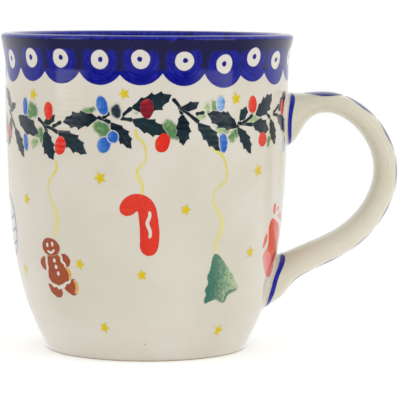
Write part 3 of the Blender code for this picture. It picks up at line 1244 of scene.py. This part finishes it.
@dataclass
class Garland:
    """The holly swag under the rim: stems, leaves, sponged greenery and two colours of berries."""

    cup: Cup
    stem_width: float = 1.4
    # Each leaf: base, tip, width, spikes on a side.
    leaves: tuple[tuple[Spot, Spot, float, int], ...] = (
        ((-18, 71.6), (-33.2, 70.2), 5.4, 3), ((-35.6, 67.4), (-22.6, 61.2), 5.4, 3),
        ((-42.3, 67.4), (-38.2, 59), 5.2, 3), ((-64.9, 67.4), (-56.7, 58.9), 4.4, 3),
        ((-61, 70.8), (-46.2, 66.4), 5.8, 2), ((-43.2, 69.3), (-37, 72), 3, 1),
        ((-12.7, 70.3), (-4.6, 63), 4.4, 3), ((-4.3, 74.6), (10.8, 78.3), 5.8, 3),
        ((-4.3, 71.2), (9.2, 67.2), 5, 3), ((15, 72.8), (15.4, 63.9), 4.8, 3),
        ((14.6, 74.6), (21.8, 76.2), 3, 1), ((21.3, 70.2), (31.2, 62), 4.8, 3),
        ((38.8, 68.9), (25.2, 72.9), 5.8, 3), ((40.4, 70.6), (43.8, 74.6), 3.4, 1),
        ((39.4, 68.6), (46.8, 60.8), 4.2, 3), ((49.3, 72), (60.5, 77.8), 5.6, 3),
        ((47.6, 69.4), (58.4, 67.4), 5, 2), ((59.5, 70.6), (64.2, 62.8), 4.4, 3),
        ((66.8, 72.8), (76.5, 78.4), 4.6, 2), ((66, 71.2), (77, 66.2), 5, 2),
        ((-69, 72.8), (-78, 78.6), 4.2, 2), ((-68.6, 70.4), (-75.4, 61.4), 4.6, 3),
        ((-69.8, 72), (-63.6, 74.4), 2.8, 1),
    )
    stems: tuple[tuple[Spot, ...], ...] = (
        ((-46.8, 70.9), (-42.5, 68.5), (-41.2, 66.5)), ((-42.5, 68.8), (-38.7, 68), (-35.3, 66.9)),
        ((-38.7, 68.6), (-36.5, 69.2), (-33.8, 70.3)), ((-18.2, 71.9), (-16.1, 71.4), (-12.5, 70.3)),
        ((-16, 71.4), (-12.8, 73.3)), ((-9.3, 71.7), (-4.3, 74.8)), ((-9.3, 71.7), (-3.9, 71.2)),
        ((11, 77.4), (13.8, 75), (15, 72.6)), ((13.8, 75), (17, 73.2), (22, 70.3)),
        ((20.2, 72.8), (24.2, 73.3)), ((39, 70), (43, 69.6), (48, 69.3)),
        ((41.5, 69.8), (44.5, 70.8), (47.5, 72.3)), ((38.7, 69.6), (40, 68.2)), ((54.8, 73), (59.5, 70.8)),
        ((61.5, 72), (67.5, 74.5)), ((61.5, 72), (67, 71.3)), ((-72.3, 72.6), (-68, 69.8), (-64.8, 67.3)),
    )
    # Each sponged patch: middle, width, height, lean, how full.
    sponged: tuple[tuple[Spot, float, float, float, float], ...] = (
        ((-50.5, 72.9), 5, 4.9, 20, 0.8), ((-45.8, 66), 4.1, 4.6, -30, 0.8),
        ((-21.5, 73.7), 3.9, 2.3, 10, 0.7), ((-16.1, 68.5), 5.6, 4.1, -20, 0.85),
        ((-2.5, 73.3), 1.8, 1.5, 0, 0.6), ((10.8, 68.2), 6.6, 4.6, -42, 0.85),
        ((25.3, 74.2), 2.2, 3.5, 10, 0.3), ((22.5, 72), 3.6, 2, 0, 0.3), ((32, 68), 4.5, 3, -20, 0.35),
        ((37.1, 66.5), 3.5, 4.5, -40, 0.7), ((47.8, 70.8), 4.5, 3, 0, 0.3),
        ((58.5, 64.2), 2.5, 3.4, 0, 0.8), ((28.2, 74.9), 3, 3.6, 0, 0.7), ((-49, 63.6), 3.6, 3, 30, 0.5),
        ((-8.2, 67.4), 2.4, 2.2, 0, 0.7),
    )
    # Each berry: middle, width, height, lean, how full.
    blues: tuple[tuple[Spot, float, float, float, float], ...] = (
        ((-55.1, 74), 2.9, 5.2, 0, 0.85), ((-55.1, 63.6), 2.7, 5.2, 10, 0.85),
        ((-16.1, 75.2), 3.5, 5.5, 15, 0.9), ((-15.4, 64), 4.1, 4.9, -20, 0.85),
        ((-11.8, 66.3), 3.4, 3.6, 30, 0.9), ((32.5, 64.5), 3.0, 5.6, 5, 0.85),
        ((31, 75.7), 3, 4.5, 0, 0.45), ((76, 62.5), 3, 4.6, 0, 0.5),
    )
    reds: tuple[tuple[Spot, float, float, float, float], ...] = (
        ((-40.5, 73.2), 3.4, 5.3, 0, 0.8), ((-34.6, 63.3), 3.9, 5.6, -10, 0.95),
        ((7.4, 64.7), 4.2, 5.5, -20, 1.0), ((47.2, 75.1), 3.6, 5.2, 0, 0.85),
        ((54, 64.8), 4.1, 4.3, 0, 0.9), ((-71.5, 66), 2.6, 4.6, 10, 0.85),
        ((71.5, 73.6), 3.2, 4.8, 0, 0.85),
    )

    def _dabs(
        self, rows: Sequence[tuple[Spot, float, float, float, float]], uneven: float, grow: float = 1.0
    ) -> list[Dab]:
        """Oval dabs from a list."""
        made = []
        for at, wide, high, lean, full in rows:
            fading = (full - 0.3, full + 0.2)
            made.append(blob(at, (wide * grow, high * grow), lean, uneven, fading, (0.3, 0.0)))
        return all_round(made)

    def build(self, glaze: Glaze) -> None:
        """Paints the swag from its lowest layer to its highest."""
        roll = self.cup.roll
        green = LEAF.material(glaze)
        sponged = layer(self._dabs(self.sponged, 0.07, 1.3), roll, 0.035 * MM)
        piece("sponged_leaves", sponged, SPONGE.material(glaze))
        width = self.stem_width
        stems = [stroke(stem, (width, width * 0.75, width * 1.1), wash=(0.95, 0.75)) for stem in self.stems]
        piece("holly_stems", layer(all_round(stems), roll, 0.05 * MM), green)
        leaves = []
        for i, (base, tip, wide, spikes) in enumerate(self.leaves):
            fading = (0.98 - 0.12 * (i % 3), 0.82 - 0.1 * ((i + 1) % 3))
            bend = 0.5 * math.sin(2.4 * i)
            leaves.append(leaf(base, tip, wide, spikes, bend, fading, 0.15 * ((i * 7) % 3)))
        piece("holly_leaves", layer(all_round(leaves), roll, 0.065 * MM), green)
        berries = layer(self._dabs(self.blues, 0.02, 1.08), roll, 0.085 * MM)
        piece("blue_berries", berries, BLUE.material(glaze))
        berries = self._dabs(self.reds, 0.02) + all_round([blob((1.3, 74.5), (3.9, 5.5), 5, hue=(0.9, 0.6))])
        piece("red_berries", layer(berries, roll, 0.085 * MM), RED.material(glaze))
        shadow = blob((-10.5, 73.6), (3.8, 5.0), wobble=0.05, wash=(0.6, 0.9))
        shadows = layer(all_round([shadow]), roll, 0.1 * MM)
        piece("leaf_shadows", shadows, SHADOW.material(glaze))


@dataclass
class Ornaments:
    """What hangs from the swag: ribbons, and a ring of Christmas motifs among gold stars."""

    cup: Cup
    star_size: float = 4.1
    stars: tuple[Spot, ...] = (
        (-49.4, 77.6), (-7.4, 78.6), (38.3, 77), (-17.1, 54.5), (-56, 46.8), (51.8, 55.8), (16.9, 45.5),
        (50.1, 31.8), (-27.5, 29.1), (-0.6, 26.6), (-64.8, 25.2), (-18.8, 10.4), (39.2, 8.8),
    )
    ribbons: tuple[tuple[Spot, ...], ...] = (
        ((-37, 59.1), (-36.8, 56.5), (-40.3, 53.3), (-41.5, 51.4), (-40.2, 47.5), (-38.1, 44), (-37.2, 40.9),
         (-38.1, 39), (-40.2, 36.6)),
        ((-3.1, 68.7), (-2.6, 66.7), (-0.2, 64.9), (1.1, 62.2), (0.8, 59.5), (-1.9, 57.3), (-2.3, 55.8),
         (-0.6, 52.9), (-0.4, 49.2)),
        ((27.4, 62.8), (30.8, 61.7), (34.2, 57.6), (34.1, 53.5), (29.5, 50.7), (28.8, 48.2), (31.6, 44),
         (33, 40.2), (31.2, 35.8), (30.4, 32.3)),
        ((71.7, 60.9), (73.6, 57), (72.4, 52.6), (74.8, 48.8)),
        ((-78, 60), (-75.6, 56.4), (-78.6, 51.2), (-79, 46)),
    )

    def _man(self) -> tuple[list[Dab], list[Dab]]:
        """The gingerbread man, and his icing."""
        baked = [
            shape(middle, edge, wash=(0.95, 0.75), hue=(0.0, 0.25))
            for middle, edge in (
                ((-39.8, 26.5), (
                    (-44.6, 30.8), (-44.9, 28.5), (-45.4, 26.2), (-45.7, 24.2), (-44, 22.8), (-40, 22.2),
                    (-36.5, 22.9), (-34, 23.6), (-32.4, 25.2), (-33.2, 27), (-35.4, 28.6), (-37.3, 30.8),
                    (-39, 32), (-43, 31.8),
                )),
                ((-47.5, 28.4), (
                    (-46, 30.6), (-47.6, 30.4), (-49.4, 29.4), (-49.9, 28.2), (-48.8, 26.9), (-46.4, 26),
                    (-46, 28.6),
                )),
                ((-34.4, 30.1), (
                    (-37, 31.7), (-34.6, 32), (-32.7, 31.3), (-31.8, 29.9), (-32.6, 28.3), (-34.2, 27.7),
                    (-35.4, 29.2),
                )),
                ((-42.2, 20.5), (
                    (-47, 22.6), (-42.6, 22), (-38.7, 21.7), (-38.2, 19.9), (-39.6, 18.5), (-42.4, 18.3),
                    (-45.6, 19.9),
                )),
                ((-32.9, 22), (
                    (-37.3, 21.5), (-33.4, 24.2), (-30.9, 24.8), (-29.2, 23.6), (-28.9, 21.9),
                    (-30.6, 19.9), (-32.7, 19.4), (-35.2, 20.3),
                )),
            )
        ]
        baked.append(blob((-42.1, 33.5), (7.7, 5.5), 0, 0.015, (0.95, 0.75), (0.0, 0.25)))
        toasted = (
            ((-34.6, 28), (-33.2, 26.8), (-32.7, 25.6), (-33.6, 24.4)),
            ((-31.2, 24.4), (-30, 23), (-30.1, 21.4), (-31.4, 20.2)),
        )
        baked += [stroke(line, (0.8, 1.1, 0.8), hue=(1.0, 1.0)) for line in toasted]
        iced = [blob(at, (1.0, 1.4)) for at in ((-43.9, 34), (-40.9, 34.4))]
        iced += [blob(at, (1.15, 1.3)) for at in ((-40.6, 29.6), (-40, 27.7), (-39.2, 25.8))]
        lines = (
            ((-44.2, 32.4), (-42.2, 31.8), (-39.9, 32.9)),
            ((-45.6, 30.8), (-45.1, 29.8), (-45.7, 28.6), (-45.1, 27.5), (-45.7, 26.4)),
            ((-37.6, 31.6), (-36.4, 30.8), (-36.6, 29.6), (-35.2, 29), (-34.9, 27.7)),
            ((-46, 22.5), (-44.2, 22.6), (-43, 21.7), (-41.4, 22.1), (-40, 21.3), (-38.4, 22.1),
             (-36.9, 22), (-35.6, 23.2), (-34.2, 23.3), (-32.8, 24.6)),
        )
        iced += [stroke(line, (0.65, 0.75, 0.65)) for line in lines]
        return baked, iced

    def _cane(self) -> tuple[list[Dab], list[Dab]]:
        """The candy cane, and its icing."""
        line = (
            (-6.9, 43.7), (-5.8, 46.3), (-2.6, 47.7), (0.6, 46.7), (2, 43.6), (2.6, 39.4), (2.4, 35.2),
            (1.6, 32.2),
        )
        cane = stroke(line, (5.0, 5.2, 5.2, 5.6, 5.8, 6, 5.8, 5.2), wash=(0.85, 0.95), hue=(0.1, 0.5))
        squiggle = ((2.4, 45.3), (2.6, 43.7), (1.7, 41.9), (2.5, 40), (2.9, 38.6), (2.5, 37.3))
        return [cane], [stroke(squiggle, (0.9, 1.1, 0.9), wash=(0.7, 0.7))]

    def _tree(self) -> list[Dab]:
        """The fir tree, its right side speckled lighter inside a dark edge."""
        edge = (
            (30.3, 33.2), (32.2, 32.2), (34.2, 30.7), (36.2, 29.7), (36.7, 28.8), (38.8, 27.8),
            (38.7, 27.1), (40.6, 26.1), (42.7, 24.8), (42.2, 23.7), (44, 23.1), (46.1, 21.7), (45.7, 20.7),
            (42.5, 20), (39.2, 19.3), (39.5, 17.7), (37.3, 16.7), (35.6, 17.7), (33.8, 18.4), (30.9, 18.1),
            (27.4, 17.2), (26.5, 17.7), (28.8, 19.6), (27.1, 21.7), (28.8, 23.5), (27.5, 25.7),
            (28.9, 28.1), (29.6, 31.5),
        )
        lowest = ((44.9, 21.6), (42.3, 20.8), (39, 19.8), (38.6, 18.2), (36.9, 17.6))
        hem = stroke(lowest, (0.6, 1.5, 1.7, 1.1), wash=(0.75, 0.75))
        return [shape((34.2, 23.4), edge, wash=(1.3, 0.15), hue=(0.2, 0.45)), hem]

    def _stocking(self) -> list[Dab]:
        """The stocking in patches: toe, leg, heel and cuff, with cream left between the last three."""
        toe = (
            (59.9, 30.3), (62.2, 31.5), (64.8, 32.4), (74.3, 29.7), (76.7, 27), (77.6, 24.4), (77.1, 22.6),
            (72.1, 22.5), (66.9, 23.7), (62.7, 26.6),
        )
        leg = (
            (65.9, 41.1), (70.3, 40.1), (75.2, 38.7), (79, 35.4), (78.7, 31.9), (77.6, 28.9), (77.1, 25.9),
            (73.5, 26.9), (68, 30.1), (63, 31.5), (64.2, 33), (63.8, 35.5), (62.6, 38.1), (63.8, 40),
        )
        heel = ((61.6, 37.2), (62.9, 35.3), (62.2, 33.7), (60.1, 32.1), (59.2, 32.3), (59.6, 34.8))
        cuff = ((76.4, 42.2), (80.3, 40.9), (82.4, 38.6), (75.4, 40.3), (72.4, 41.1), (73.5, 41.9))
        return [
            shape((68.5, 27.5), toe, wash=(-0.2, 0.9)),
            shape((70.5, 34.5), leg, wash=(0.95, 0.95), hue=(0.1, 0.4)),
            shape((61.3, 34.6), heel, wash=(0.5, 0.6)),
            shape((76.5, 40.9), cuff, wash=(0.1, 0.1)),
            blob((67.4, 43.6), (2.3, 3.4), 0, 0.04, (0.9, 0.9)),
            blob((72, 43.4), (2.6, 1.7), 0, 0.04, (0.2, 0.1)),
        ]

    def _bauble(self) -> list[Dab]:
        """A blue-lined bauble on the side, away from the handle."""
        middle = np.array([-80.0, 37.6])
        turn = np.linspace(0, 2 * math.pi, 15)
        ring = middle + np.stack([np.degrees(7.6 * np.cos(turn) / PAINT_RADIUS), 9.0 * np.sin(turn)], axis=1)
        lines = [tuple(map(tuple, ring))]
        for up, wide in ((3.6, 8.8), (-0.2, 9.8), (-4.2, 8.4)):
            bow = [(middle[0] + s * wide, middle[1] + up - 1.6 * (1 - s * s)) for s in (-1, -0.5, 0, 0.5, 1)]
            lines.append(tuple(bow))
        return [stroke(line, (1.1, 0.8, 1.1), wash=(0.8, 0.6)) for line in lines]

    def build(self, glaze: Glaze) -> None:
        """Paints the motifs on the front, and again on the back about half a turn round."""
        roll = self.cup.roll
        man, man_icing = self._man()
        cane, cane_icing = self._cane()
        tree, stocking, bauble = self._tree(), self._stocking(), self._bauble()
        turns = ((man, 184), (man_icing, 184), (cane, 178), (cane_icing, 178), (tree, 178), (stocking, 176))
        for dabs, turn in (*turns, (bauble, 188)):
            dabs += [dab.moved(turn, 0.6 * math.sin(turn)) for dab in dabs]
        ribbons = [stroke(line, (1.3, 1.0, 0.8, 1.4, 1.0), wash=(0.5, 0.2), rim=0.4) for line in self.ribbons]
        stars = []
        for at in self.stars:
            size = self.star_size + 0.25 * math.sin(at[0])
            stars.append(star(at, size, 25 * math.sin(at[0] * 2 + at[1])))
        stars.append(blob((0.5, 5.5), (1.2, 0.8)))
        for name, dabs, lift, paint in (
            ("gold_ribbons", all_round(ribbons), 0.02, RIBBON),
            ("gold_stars", all_round(stars), 0.045, GOLD),
            ("gingerbread_men", man, 0.05, BISCUIT),
            ("candy_canes", cane, 0.05, CANDY),
            ("fir_trees", tree, 0.05, FIR),
            ("stockings", stocking, 0.05, WOOL),
            ("baubles", bauble, 0.05, OUTLINE),
            ("icing", man_icing + cane_icing, 0.085, ICING),
        ):
            piece(name, layer(dabs, roll, lift * MM), paint.material(glaze))


@dataclass
class HandlePaint:
    """The handle's cobalt: a row of petals along its back, and a collar of strokes at each root."""

    strap: Strap
    petal_length: float = 9.6
    petal_widths: tuple[float, ...] = (12.4, 11.0, 10.6, 10.2, 10.0, 10.0, 9.8, 9.6)
    pitch: float = 10.4
    clear_of_root: float = 9.0
    collar_width: tuple[float, float] = (1.8, 2.4)
    collar_out: tuple[float, float] = (0.8, 1.2)  # at the upper root and the lower one
    collar_bulge: tuple[float, float] = (1.1, 1.7)
    collar_arcs: tuple[tuple[float, float], ...] = ((100, 262), (80, -82))  # degrees round a root

    def _petals(self) -> list[Dab]:
        """Ovals down the middle of the strap's outer face."""
        outside = np.array([math.pi / 2])
        first = self.strap.leaves_wall(Root.UPPER, outside)[0] / MM + self.clear_of_root
        last = self.strap.leaves_wall(Root.LOWER, outside)[0] / MM - self.clear_of_root
        return [
            blob((0.0, up), (wide, self.petal_length), 0, 0.02, (1.0, 0.9), (0.0, 0.6), columns=64, rows=14)
            for up, wide in zip(np.arange(first, last, self.pitch), self.petal_widths)
        ]

    def _collar(self, root: int, first: float, last: float) -> Dab:
        """A tapered stroke part of the way round a root, between two angles in degrees."""
        share = np.linspace(0, 1, 90)
        angle = np.radians(first + (last - first) * share)
        half = self.collar_width[root] / 2 * np.maximum(np.sin(math.pi * share) ** 0.5, 0.03)
        across = np.sin(np.linspace(-1, 1, 9) * math.pi / 2)
        out = self.collar_out[root] + self.collar_bulge[root] * np.sin(math.pi * share)
        place = np.stack(np.broadcast_arrays(angle[:, None], out[:, None] + half[:, None] * across), axis=-1)
        edge = (1 - np.abs(across)) * half[:, None]
        brush = np.stack(np.broadcast_arrays(12 * share[:, None], across * half[:, None], first), axis=-1)
        return Dab(place, edge, np.full_like(edge, 0.55), np.full_like(edge, 0.05), brush)

    def build(self, glaze: Glaze) -> None:
        """Paints the petals and the collars."""
        blue = COBALT.material(glaze)
        piece("handle_petals", layer(self._petals(), self.strap.roll, 0.09 * MM), blue)
        shells = []
        for i, root in enumerate(Root):
            collars = [self._collar(i, first, last) for first, last in self.collar_arcs]
            shells += layer(collars, self.strap.roll_round(root), 0.07 * MM)
        piece("handle_collars", shells, blue)


# ---------------------------------------------------------------------------------- the studio


@dataclass
class Studio:
    """A white sweep with a softbox at each side and a dark room in front."""

    camera_at: tuple[float, float, float] = (0.0003, -0.6598, 0.1074)
    pitch: float = 84.56
    roll: float = 0.35
    lens: float = 196.6
    floor_radius: float = 0.5
    floor_sides: int = 96
    floor_gap: float = 0.00005  # metres between the table and the foot
    # Degrees from the front, positive to the right, and the brightness that the glaze mirrors there.
    around: tuple[tuple[float, float], ...] = (
        (-180, 1.0), (-125, 0.9), (-95, 0.5), (-77.2, 0.4), (-75.8, 1.9), (-56, 1.5), (-45, 0.08),
        (34, 0.06), (44, 0.9), (58, 1.5), (72, 1.9), (73.4, 0.4), (95, 0.5), (125, 0.9), (180, 1.0),
    )

    def _camera(self) -> None:
        """Aims the camera from a little above the rim, down at the mug."""
        data = bpy.data.cameras.new("camera")
        data.lens = self.lens
        data.sensor_width = 36.0
        data.clip_start = 0.05
        made = bpy.data.objects.new("camera", data)
        tilt = Matrix.Rotation(math.radians(self.pitch), 4, "X")
        tilt = tilt @ Matrix.Rotation(math.radians(self.roll), 4, "Z")
        made.matrix_world = Matrix.Translation(Vector(self.camera_at)) @ tilt
        bpy.context.scene.collection.objects.link(made)
        bpy.context.scene.camera = made

    def _world(self) -> None:
        """Lights the mug evenly, and gives its glaze softboxes and a dark room to mirror."""
        world = bpy.data.worlds.new("studio")
        bpy.context.scene.world = world
        world.use_nodes = True
        world.cycles.sampling_method = "NONE"
        recipe = Recipe(world.node_tree)
        way = recipe.add("ShaderNodeTexCoord", out=0)
        x, y, z = (recipe.add("ShaderNodeSeparateXYZ", None, {"Vector": way}, out=i) for i in range(3))
        turn = recipe.add("ShaderNodeMath", {"operation": "ARCTAN2"}, {0: x, 1: y * -1.0})
        wide = turn * (0.5 / math.pi) + 0.5 + (recipe.noise(way, 9.0, 1.0, (1.0, 1.0, 0.1)) - 0.5) * 0.01
        stops = [((degrees + 180) / 360, value / 2) for degrees, value in self.around]
        mirrored = recipe.add("ShaderNodeValToRGB", {"stops": stops}, {"Fac": wide}) * 2.0
        below = (z * -1.0).ramp(0.065, 0.095)
        mirrored = mirrored * (1 - below) + below * (y.ramp(-0.2, 0.6) * 0.7 + 0.3)
        high = z.ramp(0.5, 0.85)
        mirrored = mirrored * (1 - high) + high * 0.35
        even = x * 0.1 + 1.0
        glossy = recipe.add("ShaderNodeLightPath", out=3)
        seen = recipe.add("ShaderNodeLightPath", out=0)
        other = mirrored * glossy + even * (1 - glossy)
        strength = other * (1 - seen) + seen * 1.0
        sky = recipe.add("ShaderNodeBackground", None, {"Color": (1.0, 1.0, 1.0), "Strength": strength})
        recipe.add("ShaderNodeOutputWorld", None, {"Surface": sky})

    def _light(self, name: str, at: tuple[float, float, float], size: float, power: float) -> None:
        """A soft square light aimed at the mug."""
        data = bpy.data.lights.new(name, "AREA")
        data.size = size
        data.energy = power
        made = bpy.data.objects.new(name, data)
        made.location = at
        made.rotation_euler = (Vector((0, 0, 0.05)) - Vector(at)).to_track_quat("-Z", "Y").to_euler()
        made.visible_glossy = False
        bpy.context.scene.collection.objects.link(made)

    def _floor(self) -> None:
        """A white round table, which the even light turns nearly as white as the sweep behind it."""
        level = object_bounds()[0][2] - self.floor_gap
        turn = np.linspace(0, 2 * math.pi, self.floor_sides, endpoint=False)
        x = self.floor_radius * np.cos(turn)
        y = self.floor_radius * np.sin(turn)
        rim = np.stack([x, y, 0 * turn + level], axis=1)
        mesh = bpy.data.meshes.new("table")
        mesh.from_pydata(rim.tolist(), [], [list(range(self.floor_sides))])
        made = bpy.data.objects.new("table", mesh)
        material, recipe = blank("table_white")
        white = recipe.noise(recipe.place(), 30.0).ramp(0.0, 1.0)
        colour = recipe.mix(white, (0.93, 0.93, 0.93), (0.95, 0.95, 0.95))
        sockets = {"Base Color": colour, "Roughness": 0.9, "Specular IOR Level": 0.0}
        sockets.update({"Emission Color": (1.0, 1.0, 1.0), "Emission Strength": 0.24})
        shader = recipe.add("ShaderNodeBsdfPrincipled", None, sockets)
        recipe.add("ShaderNodeOutputMaterial", None, {"Surface": shader})
        mesh.materials.append(material)
        made.visible_glossy = False
        bpy.context.scene.collection.objects.link(made)
        made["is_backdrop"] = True

    def build(self) -> None:
        """Sets up the camera, the world, the light and the table."""
        self._camera()
        self._world()
        self._light("key", (0.7, -0.45, 0.75), 0.5, 0.5)
        self._floor()
        bpy.context.scene.view_settings.view_transform = "Standard"


# ---------------------------------------------------------------------------------------- main


def corners(bounds: Sequence[Sequence[float]]) -> list[list[float]]:
    """The two corners of a box as plain lists."""
    return [[float(value) for value in corner] for corner in bounds]


def main() -> None:
    """Builds the mug, paints it, and sets up the studio."""
    logging.basicConfig(level=logging.INFO, format="%(message)s")
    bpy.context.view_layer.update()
    cup = Cup()
    strap = Strap(cup)
    LOG.info("clay: the cup, the handle and the slip round its roots")
    cup.build(CREAM)
    # The handle's cream is painted darker and warmer than the cup's: painted shade.
    strap.build(PAINTED_SHADE_CREAM)
    slip = CREAM.material("slip_cream", cup.level - 1.0)
    for root in Root:
        strap.build_slip(root, slip)
    LOG.info("painting: rim, swag, motifs, handle")
    RimBand(cup).build(CREAM)
    Garland(cup).build(CREAM)
    Ornaments(cup).build(CREAM)
    HandlePaint(strap).build(CREAM)
    LOG.info("studio")
    Studio().build()


if __name__ == "__main__":
    main()
